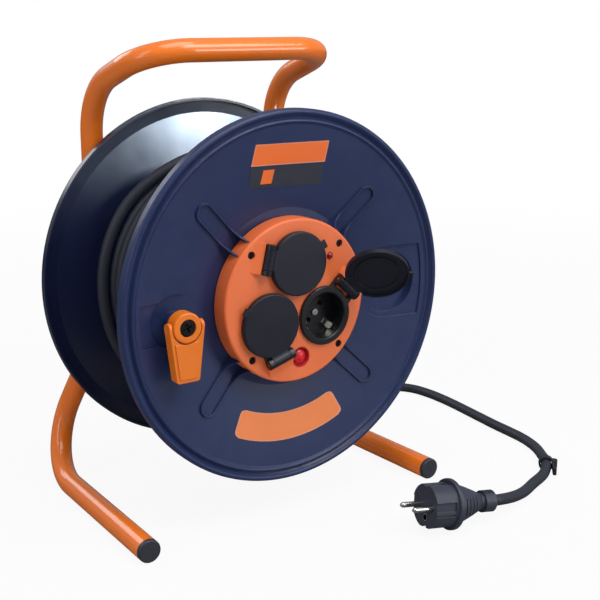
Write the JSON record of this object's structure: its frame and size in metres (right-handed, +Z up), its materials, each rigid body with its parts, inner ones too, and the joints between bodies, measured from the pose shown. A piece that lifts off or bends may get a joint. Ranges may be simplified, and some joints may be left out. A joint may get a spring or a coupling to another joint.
{
  "type": "extension cord reel",
  "caption": "Cable drum with three lidded sockets, a folding crank and a bent-tube stand; its lead ends in a round earthed plug.",
  "frame": {"origin": "on the floor, under the middle of the reel's width and depth; the free lead and plug are left out", "axes": "+X to the right seen from the sockets, +Y from the sockets to the legs, +Z up; the drum turns about Y"},
  "size_m": [0.4733, 0.3458, 0.413],
  "materials": {
    "frame_orange": "glossy orange powder coat",
    "cap_black": "black moulded cap",
    "steel_bare": "turned steel",
    "steel_spring": "spring steel",
    "drum_navy": "navy moulded plastic with a fine grain",
    "drum_inner": "navy moulded plastic",
    "bush_ivory": "self-lubricating plastic",
    "screw_zinc": "zinc-plated screw",
    "cable_rubber": "black rubber sheath",
    "gland_black": "black plastic nut",
    "terminal_white": "white plastic",
    "plate_orange": "orange moulded plastic, satin",
    "gasket_rubber": "soft black seal",
    "screw_black": "blackened screw",
    "socket_black": "black moulded plastic",
    "lid_black": "black moulded plastic, fine grain",
    "contact_brass": "brass",
    "contact_nickel": "nickel-plated brass",
    "button_red": "red plastic button",
    "cutout_red": "red plastic ring and body",
    "lamp_red": "red lamp cap",
    "crank_orange": "orange moulded plastic",
    "strap_rubber": "black rubber strap",
    "plug_rubber": "black rubber plug"
  },
  "bodies": {
    "frame": {"tube_frame": "frame_orange", "foot_caps": "cap_black", "cross_bracket": "frame_orange", "axle": "steel_bare", "thrust_washers": "steel_bare", "retaining_ring": "steel_spring", "free_lead": "cable_rubber", "lead_strap": "strap_rubber", "plug_body": "plug_rubber", "plug_pins": "contact_nickel", "plug_earth_strip": "contact_nickel", "plug_strain_relief": "plug_rubber"},
    "drum": {"rear_flange": "drum_navy", "front_flange": "drum_navy", "barrel": "drum_inner", "hub": "drum_inner", "hub_bushes": "bush_ivory", "flange_screws": "screw_zinc", "winding_core": "cable_rubber", "cable_winding": "cable_rubber", "cable_gland": "gland_black", "inner_cable": "cable_rubber", "terminal_block": "terminal_white", "socket_plate": "plate_orange", "plate_gasket": "gasket_rubber", "plate_screws": "screw_black", "socket_a": "socket_black", "socket_b": "socket_black", "socket_c": "socket_black", "pin_contacts": "contact_brass", "earth_clips": "contact_nickel", "socket_screws": "screw_zinc", "hinge_pins": "steel_spring", "thermal_cutout": "cutout_red", "pilot_lamp": "lamp_red", "crank_screw": "screw_black"},
    "crank_boss": {"crank_boss": "crank_orange"},
    "crank_grip": {"crank_grip": "crank_orange"},
    "lid_a": {"lid_a": "lid_black"},
    "lid_b": {"lid_b": "lid_black"},
    "lid_c": {"lid_c": "lid_black"},
    "reset_button": {"reset_button": "button_red"}
  },
  "joints": [
    {"name": "drum_spin", "type": "hinge", "parent": "frame", "child": "drum", "pos_m": [0, 0.00135, 0.196], "axis": [0, -1, 0], "continuous": true},
    {"name": "crank_spin", "type": "hinge", "parent": "drum", "child": "crank_boss", "pos_m": [-0.112, -0.07865, 0.1925], "axis": [0, -1, 0], "continuous": true},
    {"name": "crank_fold", "type": "hinge", "parent": "crank_boss", "child": "crank_grip", "pos_m": [-0.112, -0.0886, 0.1925], "axis": [-1, 0, 0], "range_deg": [0, 90]},
    {"name": "lid_a_hinge", "type": "hinge", "parent": "drum", "child": "lid_a", "pos_m": [-0.0306, -0.08755, 0.23606], "axis": [-0.225, 0, -0.9744], "range_deg": [0, 133]},
    {"name": "lid_b_hinge", "type": "hinge", "parent": "drum", "child": "lid_b", "pos_m": [-0.0194, -0.08755, 0.14947], "axis": [0.9563, 0, 0.2924], "range_deg": [0, 133]},
    {"name": "lid_c_hinge", "type": "hinge", "parent": "drum", "child": "lid_c", "pos_m": [0.04999, -0.08755, 0.20247], "axis": [-0.7314, 0, 0.682], "range_deg": [-133, 0]},
    {"name": "reset_push", "type": "slide", "parent": "drum", "child": "reset_button", "axis": [0, 1, 0], "range_m": [0, 0.0025], "stiffness_N_per_m": 600, "springref_m": -0.001}
  ]
}
